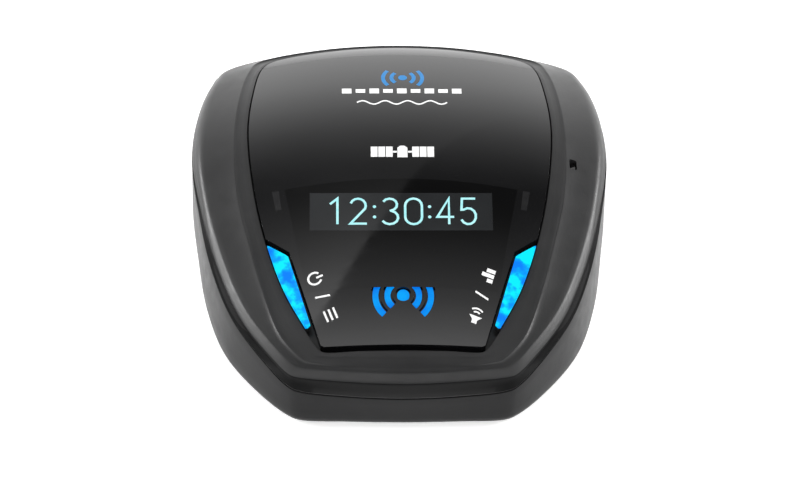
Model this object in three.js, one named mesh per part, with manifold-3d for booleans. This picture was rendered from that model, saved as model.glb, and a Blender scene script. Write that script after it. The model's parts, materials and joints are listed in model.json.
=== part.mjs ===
// A compact dashboard radar detector, built as it comes apart on a bench: two matte
// housing shells, a gloss face panel, two back-lit keys, an OLED display, a horn antenna
// with its RF board, a GPS patch antenna, a loudspeaker, the main board and its jacks.
//
// Units are millimetres. +Z is up, -Y is the end that faces the driver (keys, display),
// +Y is the end that faces the windscreen (antenna window, bracket slot).
// The origin is on the flat base, at the middle of the body's length and width.

import * as THREE from "three";
import { mergeVertices } from "three/addons/utils/BufferGeometryUtils.js";
import Module from "manifold-3d";

const wasm = await Module();
wasm.setup();

// ---------------------------------------------------------------- driving dimensions

const CROWN_RADIUS = 100; // across the body, the top is one arc of this radius
const WALL = 2.2; // housing wall
const SEAM_GAP = 0.3; // between the two shells
const RECESS_DEPTH = 1.7; // seat of the face panel, below the top surface
const CEILING_DEPTH = 3.3; // inside of the top cover, below the top surface
const PANEL_DEPTH = 1.3; // underside of the face panel
const PANEL_PROUD = 0.1;
const KEY_PROUD = 0.3;
const KEY_DEPTH = 1.0;
const FIT_GAP = 0.35; // round the panel and round each key
const BASE_THICKNESS = 2;
const BOARD_BOTTOM = 6.5;
const BOARD_TOP = 8.1;
const ON_BOARD = BOARD_TOP + 0.2; // where parts stand on the main board
const SEGMENT_STEPS = 3; // points along each stretch between two outline stations
const ROUND_STEPS = 20; // sides of a small round part

// Stations along the right half of each outline, from the driver end's middle to the
// windscreen end's middle. The same index is the same place on every outline.
const BELLY = [
  [0, -41], [9.8, -40.8], [17.8, -40.4], [19.9, -39.3], [24.4, -34.8], [30.5, -26], [33.9, -15.5],
  [35.8, -3], [37.1, 10], [36.5, 22], [35, 31.8], [33.2, 36.6], [18, 40.1], [0, 41],
];
const EDGE = [
  [0, -40.5], [9.3, -40.3], [17.8, -39.9], [19.3, -39], [22, -34.9], [27.4, -26.3], [31.6, -15.5],
  [34.7, -3], [36.9, 10], [36.2, 22], [34.4, 31.2], [32.9, 35.1], [18, 37.3], [0, 37.9],
];
const RIDGE = [
  [0, -38.9], [8.7, -38.7], [15.2, -38.2], [16.5, -37.3], [20.1, -31.2], [24.1, -22.2], [26.9, -13.5],
  [29.1, -3], [30, 11], [29.3, 21.8], [27.8, 31], [26.2, 34], [14, 35.6], [0, 36.2],
];
const OPENING = [
  [0, -35.6], [7.2, -35.4], [13.3, -35], [14.4, -34.1], [16.6, -29.8], [19.8, -23.3], [22.9, -14.4],
  [25.6, -3], [27.1, 11], [26.6, 21.5], [24.8, 31.5], [23.7, 33], [12.5, 33.9], [0, 34.4],
];

// Slope of the centre line at stations along Y. The height is the integral of the slope.
const CENTRE_SLOPES = [
  [-41, 0.48], [-36, 0.31], [-28, 0.285], [-10, 0.2], [4, 0.12], [14, 0],
  [22, -0.16], [28, -0.32], [33, -0.52], [38, -0.8], [41, -1],
];
const DRIVER_END_HEIGHT = 11.33; // of the centre line at its first station

// Height of the line where the two shells meet, at stations along Y.
const SEAM_HEIGHTS = [
  [-41, 7], [-35, 8.5], [-30, 9.7], [-24, 10.8], [-14, 11.9], [0, 12.7], [15, 12.9],
  [22, 12.2], [28, 11.2], [33, 10.2], [36, 10], [41, 10.8],
];

const DISPLAY = { y: -8, width: 34, length: 10.5, thickness: 1.4, z: 14.8 };
const DISPLAY_WINDOW = { x: 18.3, y0: -14.2, y1: -1.8 };
const EMBLEM_WINDOW = { x: 7, y0: -30, y1: -20.3 };
const SENSOR = { x: 30.5, y: 4.7, width: 1.3, length: 2.1 };
const SWITCH = { x: 20, y: -18.6, size: 5.2, height: 2.8 };
const KEY_GUIDE = { x: 17.6, y: -25.2 };
const HOUSING_SCREWS = [
  { x: 15, y: -33, split: 5.5 }, { x: -15, y: -33, split: 5.5 },
  { x: 28, y: 28, split: 8 }, { x: -28, y: 28, split: 8 },
];
const BOARD_SCREWS = [[27, -12], [-27, -12], [20, 16], [-20, 16]];
const ANTENNA_WINDOW = { x: 20, z0: 5.1, z1: 9.6 };
const BRACKET_SLOT = { x: 9.2, y0: 29, z0: 1.5, z1: 3.5 };
const SPEAKER = { x: 0, y: -16, r: 11, z: 2.9 };
const DC_JACK = { y: 15, z: 10.1, r: 1.7 };
const USB_JACK = { y: 15, z: 10.1, width: 7.7, height: 3.4 };
const HORN = { x: 12.6, y0: 10, y1: 34.8, z0: 4.9, z1: 11.2 };

// ------------------------------------------------------------------------- materials

function material(color, roughness, metalness = 0) {
  return new THREE.MeshStandardMaterial({ color, roughness, metalness });
}

const MATTE_BLACK = material(0x2b2b2c, 0.55);
const GLOSS_BLACK = material(0x0c0c0e, 0.08);
const LIT_BLUE = material(0x19b4f5, 0.3);
const SMOKED_RED = material(0x2a0a0c, 0.1);
const BOARD_GREEN = material(0x1d5a34, 0.5);
const CHIP_BLACK = material(0x18181a, 0.6);
const STEEL = material(0xb9bcc0, 0.35, 1);
const CAST_ZINC = material(0x9a9da0, 0.5, 1);
const CERAMIC = material(0xcfc3a4, 0.5);
const GLASS_DARK = material(0x101418, 0.05);
const FOAM = material(0x303030, 0.95);
const LABEL_SILVER = material(0xb8babc, 0.45);
const AMBER_FLEX = material(0xb9772a, 0.4);
const SPEAKER_GREY = material(0x3a3c40, 0.6);

// ------------------------------------------------------------------ solids and shapes

// A closed geometry as a manifold solid.
function solid(geometry) {
  const plain = new THREE.BufferGeometry();
  plain.setAttribute("position", geometry.getAttribute("position"));
  plain.setIndex(geometry.getIndex());
  const merged = mergeVertices(plain, 1e-4);
  return new wasm.Manifold(
    new wasm.Mesh({
      numProp: 3,
      vertProperties: merged.attributes.position.array,
      triVerts: new Uint32Array(merged.index.array),
    }),
  );
}

function geometryOf(made) {
  const mesh = made.getMesh();
  const geometry = new THREE.BufferGeometry();
  geometry.setAttribute("position", new THREE.BufferAttribute(mesh.vertProperties, 3));
  geometry.setIndex(new THREE.BufferAttribute(mesh.triVerts, 1));
  geometry.computeVertexNormals();
  return geometry;
}

function box(x0, x1, y0, y1, z0, z1) {
  const geometry = new THREE.BoxGeometry(x1 - x0, y1 - y0, z1 - z0);
  geometry.translate((x0 + x1) / 2, (y0 + y1) / 2, (z0 + z1) / 2);
  return solid(geometry);
}

// An upright cylinder, or a cone if the two radii differ.
function upright(x, y, z0, z1, rBottom, rTop = rBottom, steps = ROUND_STEPS) {
  const geometry = new THREE.CylinderGeometry(rTop, rBottom, z1 - z0, steps);
  geometry.rotateX(Math.PI / 2);
  geometry.translate(x, y, (z0 + z1) / 2);
  return solid(geometry);
}

function alongX(x0, x1, y, z, r) {
  const geometry = new THREE.CylinderGeometry(r, r, x1 - x0, ROUND_STEPS);
  geometry.rotateZ(Math.PI / 2);
  geometry.translate((x0 + x1) / 2, y, z);
  return solid(geometry);
}

function alongY(y0, y1, x, z, r) {
  const geometry = new THREE.CylinderGeometry(r, r, y1 - y0, ROUND_STEPS);
  geometry.translate(x, (y0 + y1) / 2, z);
  return solid(geometry);
}

// A profile of [radius, height] points turned about an upright axis.
function turned(x, y, profile, steps = 32) {
  const geometry = new THREE.LatheGeometry(profile.map(([r, z]) => new THREE.Vector2(r, z)), steps);
  geometry.rotateX(Math.PI / 2);
  geometry.translate(x, y, 0);
  return solid(geometry);
}

// An upright prism over a flat outline of [x, y] points.
function prism(points, z0, z1) {
  const shape = new THREE.Shape(points.map(([x, y]) => new THREE.Vector2(x, y)));
  const geometry = new THREE.ExtrudeGeometry(shape, { depth: z1 - z0, bevelEnabled: false });
  geometry.translate(0, 0, z0);
  return solid(geometry);
}

function mirrored(points) {
  return points.map(([x, y]) => [-x, y]).reverse();
}

// A solid skinned over rings of [x, y, z] points, closed by a fan at both ends.
function loft(rings) {
  const count = rings[0].length;
  const middle = (ring) => [0, 1, 2].map((k) => ring.reduce((sum, p) => sum + p[k], 0) / count);
  const points = [...rings.flat(), middle(rings[0]), middle(rings.at(-1))];
  const bottom = points.length - 2;
  const top = points.length - 1;
  const lastRing = (rings.length - 1) * count;
  const faces = [];
  for (let i = 0; i < count; i++) {
    const j = (i + 1) % count;
    faces.push(bottom, j, i, top, lastRing + i, lastRing + j);
    for (let r = 0; r < lastRing; r += count) {
      faces.push(r + i, r + j, r + count + j, r + i, r + count + j, r + count + i);
    }
  }
  const geometry = new THREE.BufferGeometry();
  geometry.setAttribute("position", new THREE.Float32BufferAttribute(points.flat(), 3));
  geometry.setIndex(faces);
  return solid(geometry);
}

// --------------------------------------------------------------- the body's own shape

function interpolate(table, at) {
  const last = table.length - 1;
  if (at <= table[0][0]) return table[0][1];
  if (at >= table[last][0]) return table[last][1];
  const k = table.findIndex(([position]) => position > at);
  const [p0, v0] = table[k - 1];
  const [p1, v1] = table[k];
  return v0 + ((v1 - v0) * (at - p0)) / (p1 - p0);
}

// Height of the top surface on the centre line.
function centreHeight(y) {
  let height = DRIVER_END_HEIGHT;
  for (let k = 0; k < CENTRE_SLOPES.length - 1; k++) {
    const [start, slope] = CENTRE_SLOPES[k];
    const end = Math.min(y, CENTRE_SLOPES[k + 1][0]);
    if (end <= start) break;
    height += ((slope + interpolate(CENTRE_SLOPES, end)) / 2) * (end - start);
  }
  return height;
}

// Height of the top surface, which everything on top of the body follows.
function topHeight(x, y) {
  return centreHeight(y) - (CROWN_RADIUS - Math.sqrt(CROWN_RADIUS ** 2 - x ** 2));
}

// The stations drawn in towards the middle, by one distance along X and along Y.
function inset(stations, distance) {
  const halfWidth = Math.max(...stations.map(([x]) => x));
  const halfLength = Math.max(...stations.map(([, y]) => Math.abs(y)));
  return stations.map(([x, y]) => [x * (1 - distance / halfWidth), y * (1 - distance / halfLength)]);
}

function between(stationsA, stationsB, share) {
  return stationsA.map(([x, y], k) => [
    x + (stationsB[k][0] - x) * share,
    y + (stationsB[k][1] - y) * share,
  ]);
}

// The whole outline as a closed loop of [x, y] points: the right half, then its mirror image.
function loop(stations) {
  const curve = new THREE.CatmullRomCurve3(stations.map(([x, y]) => new THREE.Vector3(x, y, 0)));
  const steps = (stations.length - 1) * SEGMENT_STEPS;
  const half = curve.getPoints(steps).map((p) => [p.x, p.y]);
  half[0][0] = 0;
  half[steps][0] = 0;
  const otherHalf = half.slice(1, -1).map(([x, y]) => [-x, y]);
  return [...half, ...otherHalf.reverse()];
}

// One ring of a loft: an outline at a height, or at a height that depends on the place.
function ring(stations, height) {
  const heightAt = typeof height === "function" ? height : () => height;
  return loop(stations).map(([x, y]) => [x, y, heightAt(x, y)]);
}

function scaledRing(stations, share, height) {
  return loop(stations).map(([x, y]) => [x * share, y * share, height(x * share, y * share)]);
}

const belowTop = (depth) => (x, y) => topHeight(x, y) - depth;
const atSeam = (offset) => (x, y) => interpolate(SEAM_HEIGHTS, y) + offset;
const INNER_RINGS = [0.8, 0.6, 0.4, 0.2];

// The lower part of the body, from the flat base to the seam, moved inwards by a depth.
function lowerBody(depth, baseHeight) {
  const seamStations = between(BELLY, EDGE, 0.5);
  return loft([
    ring(inset(BELLY, depth + 1.8), baseHeight),
    ring(inset(BELLY, depth + 0.5), baseHeight + 0.6),
    ring(inset(BELLY, depth), baseHeight + 2.2),
    ring(inset(between(BELLY, EDGE, 0.15), depth), (x, y) => 0.65 * atSeam(0)(x, y)),
    ring(inset(seamStations, depth), atSeam(-SEAM_GAP / 2)),
    ring(inset(seamStations, depth + WALL + 1), atSeam(-SEAM_GAP / 2)),
  ]);
}

// The upper part of the body, from the seam to the crowned top, with the edge rounded.
function upperBody() {
  return loft([
    ring(inset(between(BELLY, EDGE, 0.5), WALL + 1), atSeam(SEAM_GAP / 2)),
    ring(between(BELLY, EDGE, 0.5), atSeam(SEAM_GAP / 2)),
    ring(between(BELLY, EDGE, 0.9), belowTop(1)),
    ring(inset(EDGE, 0.25), belowTop(0.3)),
    ring(inset(EDGE, 0.9), belowTop(0)),
    ring(between(EDGE, RIDGE, 0.5), belowTop(0)),
    ring(RIDGE, belowTop(-0.2)),
    ring(OPENING, belowTop(0.1)),
    ...INNER_RINGS.map((share) => scaledRing(OPENING, share, belowTop(0))),
  ]);
}

// The hollow inside the top cover.
function upperHollow() {
  return loft([
    ring(inset(BELLY, WALL), 0),
    ring(inset(between(BELLY, EDGE, 0.5), WALL), atSeam(0)),
    ring(inset(EDGE, WALL + 0.4), belowTop(CEILING_DEPTH)),
    ring(RIDGE, belowTop(CEILING_DEPTH)),
    ...INNER_RINGS.map((share) => scaledRing(RIDGE, share, belowTop(CEILING_DEPTH))),
  ]);
}

// A crowned plate under the whole top, between two depths below the top surface.
function crownedPlate(topDepth, bottomDepth) {
  const columns = 14;
  const rows = 20;
  const halfWidth = 31;
  const yStart = -38;
  const yEnd = 37;
  const points = [];
  for (const depth of [bottomDepth, topDepth]) {
    for (let row = 0; row <= rows; row++) {
      for (let column = 0; column <= columns; column++) {
        const x = -halfWidth + (2 * halfWidth * column) / columns;
        const y = yStart + ((yEnd - yStart) * row) / rows;
        points.push(x, y, topHeight(x, y) - depth);
      }
    }
  }
  const at = (column, row, layer) => (layer * (rows + 1) + row) * (columns + 1) + column;
  const faces = [];
  const quad = (a, b, c, d) => faces.push(a, b, c, a, c, d);
  for (let row = 0; row < rows; row++) {
    for (let column = 0; column < columns; column++) {
      const [right, back] = [column + 1, row + 1];
      quad(at(column, row, 1), at(right, row, 1), at(right, back, 1), at(column, back, 1));
      quad(at(column, row, 0), at(column, back, 0), at(right, back, 0), at(right, row, 0));
    }
    quad(at(0, row, 0), at(0, row, 1), at(0, row + 1, 1), at(0, row + 1, 0));
    quad(at(columns, row, 0), at(columns, row + 1, 0), at(columns, row + 1, 1), at(columns, row, 1));
  }
  for (let column = 0; column < columns; column++) {
    quad(at(column, 0, 0), at(column + 1, 0, 0), at(column + 1, 0, 1), at(column, 0, 1));
    quad(at(column, rows, 0), at(column, rows, 1), at(column + 1, rows, 1), at(column + 1, rows, 0));
  }
  const geometry = new THREE.BufferGeometry();
  geometry.setAttribute("position", new THREE.Float32BufferAttribute(points, 3));
  geometry.setIndex(faces);
  return solid(geometry);
}

// ---------------------------------------------------------------- the outer pieces

// The right key's corner of the opening. The panel is cut back to the line from the
// notch to its driver-end corner, and the key fills the space beside it.
const KEY_POCKET = [
  [30, -11], [23, -14.1], [18.8, -16.1], [13.3, -34], [13.3, -42], [30, -42],
];
const KEY_OUTLINE = [
  [30, -11.4], [23, -14.6], [19.3, -16.5], [15.3, -30.4], [15.9, -30.9], [30, -30.9],
];

function facePanel() {
  const outline = prism(loop(inset(OPENING, FIT_GAP)), 5, 30);
  const pockets = prism(KEY_POCKET, 5, 30).add(prism(mirrored(KEY_POCKET), 5, 30));
  return crownedPlate(-PANEL_PROUD, PANEL_DEPTH).intersect(outline.subtract(pockets));
}

// side is 1 for the right key and -1 for the left one.
function key(side) {
  const outline = side > 0 ? KEY_OUTLINE : mirrored(KEY_OUTLINE);
  const cap = crownedPlate(-KEY_PROUD, KEY_DEPTH)
    .intersect(prism(loop(inset(OPENING, FIT_GAP)), 5, 30))
    .intersect(prism(outline, 5, 30));
  const under = crownedPlate(0.5, 12);
  const stemX = side * SWITCH.x;
  const stem = box(stemX - 0.55, stemX + 0.55, SWITCH.y - 1, SWITCH.y + 1, 12.65, 30);
  const guideX = side * KEY_GUIDE.x;
  const guide = box(guideX - 0.35, guideX + 0.35, KEY_GUIDE.y - 0.6, KEY_GUIDE.y + 0.6, 11.5, 30);
  return cap.add(stem.add(guide).intersect(under));
}

function topCover() {
  const recess = crownedPlate(-6, RECESS_DEPTH).intersect(prism(loop(OPENING), 0, 40));
  let cover = upperBody().subtract(upperHollow());
  for (const screw of HOUSING_SCREWS) {
    const boss = upright(screw.x, screw.y, screw.split + 0.3, 22, 2.3);
    cover = cover.add(boss.intersect(crownedPlate(2.4, 20)));
  }
  cover = cover.subtract(recess);
  const { x, y0, y1 } = DISPLAY_WINDOW;
  cover = cover.subtract(box(-x, x, y0, y1, 5, 30));
  const emblem = EMBLEM_WINDOW;
  cover = cover.subtract(box(-emblem.x, emblem.x, emblem.y0, emblem.y1, 5, 30));
  for (const side of [1, -1]) {
    const stemX = side * SWITCH.x;
    const guideX = side * KEY_GUIDE.x;
    cover = cover
      .subtract(box(stemX - 0.85, stemX + 0.85, SWITCH.y - 1.3, SWITCH.y + 1.3, 5, 30))
      .subtract(box(guideX - 0.6, guideX + 0.6, KEY_GUIDE.y - 0.85, KEY_GUIDE.y + 0.85, 5, 30));
  }
  for (const screw of HOUSING_SCREWS) {
    cover = cover.subtract(upright(screw.x, screw.y, 3, screw.split + 3.2, 1));
  }
  const [halfWidth, halfLength] = [SENSOR.width / 2, SENSOR.length / 2];
  return cover.subtract(
    box(
      SENSOR.x - halfWidth, SENSOR.x + halfWidth,
      SENSOR.y - halfLength, SENSOR.y + halfLength, 5, 30,
    ),
  );
}

// Seven slots across the loudspeaker, each as long as the round patch is wide there.
function speakerSlots() {
  const pitch = 2.4;
  const patch = SPEAKER.r - 2;
  let slots = null;
  for (let k = -3; k <= 3; k++) {
    const y = SPEAKER.y + k * pitch;
    const reach = Math.sqrt(patch ** 2 - (k * pitch) ** 2);
    const slot = box(-reach, reach, y - 0.6, y + 0.6, -1, 5);
    slots = slots ? slots.add(slot) : slot;
  }
  return slots;
}

const LABEL = { x: 17.6, y0: 4.4, y1: 20.6, z0: 0.1, z1: 0.3 };

function lowerHousing() {
  const hollow = loft([
    ring(inset(BELLY, WALL + 1.8), BASE_THICKNESS),
    ring(inset(BELLY, WALL + 0.4), BASE_THICKNESS + 1),
    ring(inset(BELLY, WALL), BASE_THICKNESS + 2.4),
    ring(inset(between(BELLY, EDGE, 0.5), WALL), 30),
  ]);
  const slot = BRACKET_SLOT;
  const inside = lowerBody(0.5, 0.5);
  const sleeve = box(-slot.x - 1.8, slot.x + 1.8, slot.y0 - 1.2, 45, 0.6, slot.z1 + 1.1);
  let housing = lowerBody(0, 0).subtract(hollow).add(sleeve.intersect(inside));
  const collar = upright(SPEAKER.x, SPEAKER.y, 1.5, 4.2, SPEAKER.r + 1.2, undefined, 32).subtract(
    upright(SPEAKER.x, SPEAKER.y, 1, 5, SPEAKER.r + 0.4, undefined, 32),
  );
  housing = housing.add(collar);
  for (const [x, y] of BOARD_SCREWS) {
    housing = housing.add(upright(x, y, 1.5, BOARD_BOTTOM - 0.3, 2.2));
    housing = housing.subtract(upright(x, y, 2.5, BOARD_BOTTOM + 1, 1.1));
  }
  for (const { x, y, split } of HOUSING_SCREWS) {
    housing = housing
      .add(upright(x, y, 1, split, 2.9))
      .subtract(upright(x, y, -1, 2.6, 2.3))
      .subtract(upright(x, y, 0, split + 1, 1.3));
  }
  const window = ANTENNA_WINDOW;
  return housing
    .subtract(box(-slot.x, slot.x, slot.y0, 50, slot.z0, slot.z1))
    .subtract(speakerSlots())
    .subtract(box(-LABEL.x - 0.4, LABEL.x + 0.4, LABEL.y0 - 0.4, LABEL.y1 + 0.4, -1, 0.6))
    .subtract(box(-window.x, window.x, 30, 50, window.z0, window.z1))
    .subtract(alongX(30, 45, DC_JACK.y, DC_JACK.z, DC_JACK.r + 0.3))
    .subtract(
      box(
        -45, -30, USB_JACK.y - USB_JACK.width / 2, USB_JACK.y + USB_JACK.width / 2,
        USB_JACK.z - USB_JACK.height / 2, USB_JACK.z + USB_JACK.height / 2,
      ),
    );
}

// The window in front of the horn and the laser receiver, with a flange behind the wall.
function antennaWindow() {
  const { x, z0, z1 } = ANTENNA_WINDOW;
  const pane = box(-x + 0.25, x - 0.25, 30, 50, z0 + 0.25, z1 - 0.25).intersect(lowerBody(0.1, 0));
  const flange = box(-x - 1, x + 1, 30, 50, z0 - 0.2, z1 + 0.2).intersect(
    lowerBody(WALL + 0.35, 0),
  );
  return pane.add(flange).subtract(lowerBody(WALL + 1.2, 0).intersect(box(-30, 30, 0, 50, -1, 20)));
}

// ---------------------------------------------------------------- what is inside

function mainBoard() {
  const outline = prism(loop(inset(BELLY, WALL + 1.4)), BOARD_BOTTOM, BOARD_TOP);
  const reach = box(-40, 40, -29.5, 23.5, 0, 20).add(box(-24.5, 24.5, 20, 30.5, 0, 20));
  const hornNotch = box(-HORN.x - 0.8, HORN.x + 0.8, HORN.y0 - 0.8, 50, 0, 20);
  let board = outline.intersect(reach).subtract(hornNotch);
  for (const [x, y] of BOARD_SCREWS) board = board.subtract(upright(x, y, 0, 20, 1.2));
  return board;
}

function hornAntenna() {
  const { x, y0, y1, z0, z1 } = HORN;
  const mid = (z0 + z1) / 2;
  const frame = (halfWidth, halfHeight, y) => [
    [-halfWidth, y, mid - halfHeight], [halfWidth, y, mid - halfHeight],
    [halfWidth, y, mid + halfHeight], [-halfWidth, y, mid + halfHeight],
  ];
  const mouth = loft([frame(11.4, 2.4, y1 + 1), frame(5.3, 1.7, 20), frame(5.3, 1.7, 14)]);
  const shoulders = box(-x - 1, -x + 4, y0 - 1, 22, 0, 20).add(box(x - 4, x + 1, y0 - 1, 22, 0, 20));
  return box(-x, x, y0, y1, z0, z1).subtract(mouth).subtract(shoulders);
}

function rfShield() {
  return box(-8.2, 8.2, 12, 25, 12.7, 15).subtract(box(-7.9, 7.9, 12.3, 24.7, 12, 14.7));
}

function displayBezel() {
  const { x, y0, y1 } = DISPLAY_WINDOW;
  const frame = box(-x + 0.3, x - 0.3, y0 + 0.3, y1 - 0.3, 5, 30).subtract(
    box(-x + 2.1, x - 2.1, y0 + 2.1, y1 - 2.1, 4, 31),
  );
  return frame.intersect(crownedPlate(1.5, 3.1));
}

function displayModule() {
  const geometry = new THREE.BoxGeometry(DISPLAY.width, DISPLAY.length, DISPLAY.thickness);
  geometry.rotateX(Math.atan(interpolate(CENTRE_SLOPES, DISPLAY.y)));
  geometry.translate(0, DISPLAY.y, DISPLAY.z);
  return solid(geometry);
}

// The flat cable from the display's driver-side edge down to the main board.
function displayFlex() {
  const path = new THREE.CatmullRomCurve3(
    [[-13.7, 13.3], [-16, 12.6], [-18.6, 11], [-19.6, 9.4], [-19.7, 8.3]].map(
      ([y, z]) => new THREE.Vector3(0, y, z),
    ),
  );
  const half = 0.1;
  const run = path.getPoints(8);
  const side = run.map((p, k) => {
    const before = run[Math.max(k - 1, 0)];
    const after = run[Math.min(k + 1, run.length - 1)];
    const along = new THREE.Vector2(after.y - before.y, after.z - before.z).normalize();
    return [p.y - along.y * half, p.z + along.x * half, p.y + along.y * half, p.z - along.x * half];
  });
  const outline = [
    ...side.map(([y, z]) => [y, z]),
    ...side.map(([, , y, z]) => [y, z]).reverse(),
  ];
  const shape = new THREE.Shape(outline.map(([y, z]) => new THREE.Vector2(y, z)));
  const geometry = new THREE.ExtrudeGeometry(shape, { depth: 14, bevelEnabled: false });
  // The shape's plane becomes the YZ plane, and its depth runs along X.
  geometry.applyMatrix4(new THREE.Matrix4().set(0, 0, 1, -7, 1, 0, 0, 0, 0, 1, 0, 0, 0, 0, 0, 1));
  return solid(geometry);
}

function emblemLightGuide() {
  const { x, y0, y1 } = EMBLEM_WINDOW;
  const block = box(-x + 0.5, x - 0.5, y0 + 0.5, y1 - 0.5, 10.8, 30);
  return block.intersect(crownedPlate(1.5, 12));
}

function tactSwitch(side) {
  const half = SWITCH.size / 2;
  const x = side * SWITCH.x;
  const body = box(x - half, x + half, SWITCH.y - half, SWITCH.y + half, ON_BOARD, ON_BOARD + SWITCH.height);
  return body.subtract(upright(x, SWITCH.y, ON_BOARD + 1.2, 20, 1.5));
}

function speaker() {
  const { x, y, r, z } = SPEAKER;
  return turned(x, y, [
    [0, z + 0.9], [r - 4, z + 0.3], [r - 2.6, z + 0.7], [r - 1.8, z], [r, z], [r, z + 1.2],
    [r - 3.5, z + 2], [r - 5.5, z + 2], [r - 5.5, z + 3.2], [0, z + 3.2],
  ]);
}

function speakerGasket() {
  const { x, y, r, z } = SPEAKER;
  const inner = r - 1.7;
  return turned(x, y, [[inner, z - 0.6], [r, z - 0.6], [r, z - 0.3], [inner, z - 0.3], [inner, z - 0.6]]);
}

// A barrel jack whose round nose stands in the wall's hole.
function dcJack() {
  const { y, z, r } = DC_JACK;
  const body = box(25.5, 33.3, y - 2.9, y + 2.9, ON_BOARD, z + 1.9);
  const nose = alongX(33, 36, y, z, r);
  const bore = alongX(27, 40, y, z, r - 0.35);
  const pin = alongX(26, 35.4, y, z, 0.4);
  return body.add(nose).subtract(bore).add(pin);
}

function usbJack() {
  const { y, z, width, height } = USB_JACK;
  const half = width / 2 - 0.2;
  const shell = box(-34, -25.5, y - half, y + half, ON_BOARD, z + height / 2);
  const mouth = box(-40, -27, y - half + 0.4, y + half - 0.4, ON_BOARD + 0.4, z + height / 2 - 0.4);
  const tongue = box(-33.2, -26, y - 2.4, y + 2.4, z - 0.2, z + 0.4);
  return shell.subtract(mouth).add(tongue);
}

function laserReceiver() {
  const body = box(15, 21, 26.6, 30, ON_BOARD, ON_BOARD + 3);
  return body.add(alongY(29.5, 32, 18, ON_BOARD + 1.5, 1.4)).add(alongY(31.5, 32.8, 18, ON_BOARD + 1.5, 1));
}

function selfTapper(x, y, headZ, headRadius, headHeight, shankLength) {
  const head = upright(x, y, headZ, headZ + headHeight, headRadius);
  const cross = box(x - 1, x + 1, y - 0.25, y + 0.25, -1, 1).add(
    box(x - 0.25, x + 0.25, y - 1, y + 1, -1, 1),
  );
  const pointsUp = shankLength > 0;
  const shank = pointsUp
    ? upright(x, y, headZ + headHeight - 0.1, headZ + headHeight + shankLength, 0.85, 0.6, 12)
    : upright(x, y, headZ + shankLength, headZ + 0.1, 0.6, 0.85, 12);
  const drive = cross.translate([0, 0, pointsUp ? headZ - 0.3 : headZ + headHeight + 0.3]);
  return head.add(shank).subtract(drive);
}

function radioChip(x, y, width, length, height, z = ON_BOARD) {
  return box(x - width / 2, x + width / 2, y - length / 2, y + length / 2, z, z + height);
}

// A surface-mounted lamp: a square body with a small dome.
function lamp(x, y) {
  const dome = new THREE.SphereGeometry(1.1, 16, 10);
  dome.translate(x, y, ON_BOARD + 1.2);
  return radioChip(x, y, 3.2, 2.8, 1.2).add(solid(dome));
}

// ------------------------------------------------------------------------ the assembly

const detector = new THREE.Group();

function place(name, made, finish) {
  const mesh = new THREE.Mesh(geometryOf(made), finish);
  mesh.name = name;
  detector.add(mesh);
}

place("top_cover", topCover(), MATTE_BLACK);
place("lower_housing", lowerHousing(), MATTE_BLACK);
place("face_panel", facePanel(), GLOSS_BLACK);
place("right_key", key(1), LIT_BLUE);
place("left_key", key(-1), LIT_BLUE);
place("antenna_window", antennaWindow(), SMOKED_RED);
place("rating_label", box(-LABEL.x, LABEL.x, LABEL.y0, LABEL.y1, LABEL.z0, LABEL.z1), LABEL_SILVER);

const sensorPipe = radioChip(SENSOR.x, SENSOR.y, 0.9, 1.7, 20, 9.6).intersect(upperBody());
const SENSOR_PIPE_TOP = topHeight(SENSOR.x, SENSOR.y) - 0.6;
place("light_sensor_pipe", sensorPipe.intersect(box(20, 40, -5, 15, 0, SENSOR_PIPE_TOP)), GLASS_DARK);
place("light_sensor", radioChip(SENSOR.x, SENSOR.y, 2.4, 2, 0.9), CHIP_BLACK);

place("main_board", mainBoard(), BOARD_GREEN);
place("processor_chip", radioChip(-5, -13.6, 10, 10, 1.4), CHIP_BLACK);
place("memory_chip", radioChip(6, -14, 5, 6, 1.2), CHIP_BLACK);
place("power_inductor", radioChip(20, 4, 6, 6, 3), CHIP_BLACK);
place("backup_battery", upright(-20, 0, ON_BOARD, ON_BOARD + 1.6, 3.4), STEEL);
place("gps_receiver", radioChip(0, 1, 15, 14, 1.8), STEEL);
place("gps_patch_antenna", radioChip(0, 2.2, 12, 12, 4, 10.4), CERAMIC);
place("horn_antenna", hornAntenna(), CAST_ZINC);
place("rf_board", box(-10, 10, 11, 27, 11.5, 12.4), BOARD_GREEN);
place("rf_shield", rfShield(), STEEL);
place("laser_receiver", laserReceiver(), CHIP_BLACK);
place("display_bezel", displayBezel(), MATTE_BLACK);
place("display_module", displayModule(), GLASS_DARK);
place("display_flex", displayFlex(), AMBER_FLEX);
place("emblem_light_guide", emblemLightGuide(), LIT_BLUE);
place("emblem_lamp", lamp(0, -25), CERAMIC);
place("speaker", speaker(), SPEAKER_GREY);
place("speaker_gasket", speakerGasket(), FOAM);
place("dc_jack", dcJack(), CHIP_BLACK);
place("usb_jack", usbJack(), STEEL);

for (const [word, side] of [["right", 1], ["left", -1]]) {
  place(`${word}_switch`, tactSwitch(side), CHIP_BLACK);
  const x = side * SWITCH.x;
  place(`${word}_switch_plunger`, upright(x, SWITCH.y, 10.4, 12.35, 1), CERAMIC);
  place(`${word}_key_lamp`, lamp(side * 17.1, -26.4), CERAMIC);
}

HOUSING_SCREWS.forEach(({ x, y, split }, k) => {
  place(`housing_screw_${k + 1}`, selfTapper(x, y, 0.7, 2, 1.4, split + 0.4), STEEL);
});
BOARD_SCREWS.forEach(([x, y], k) => {
  place(`board_screw_${k + 1}`, selfTapper(x, y, BOARD_TOP + 0.2, 1.9, 1.1, -4.8), STEEL);
});

export default detector;
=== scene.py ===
"""Looks for a dashboard radar detector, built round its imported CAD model.

The two housing shells, the face panel, the keys and everything printed or lit on the panel are
made here as fine meshes from the same outlines as the CAD. The parts inside keep their CAD
meshes and get their own materials. Tables and sizes are in millimetres in the CAD's frame.
"""

import json
import math

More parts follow.
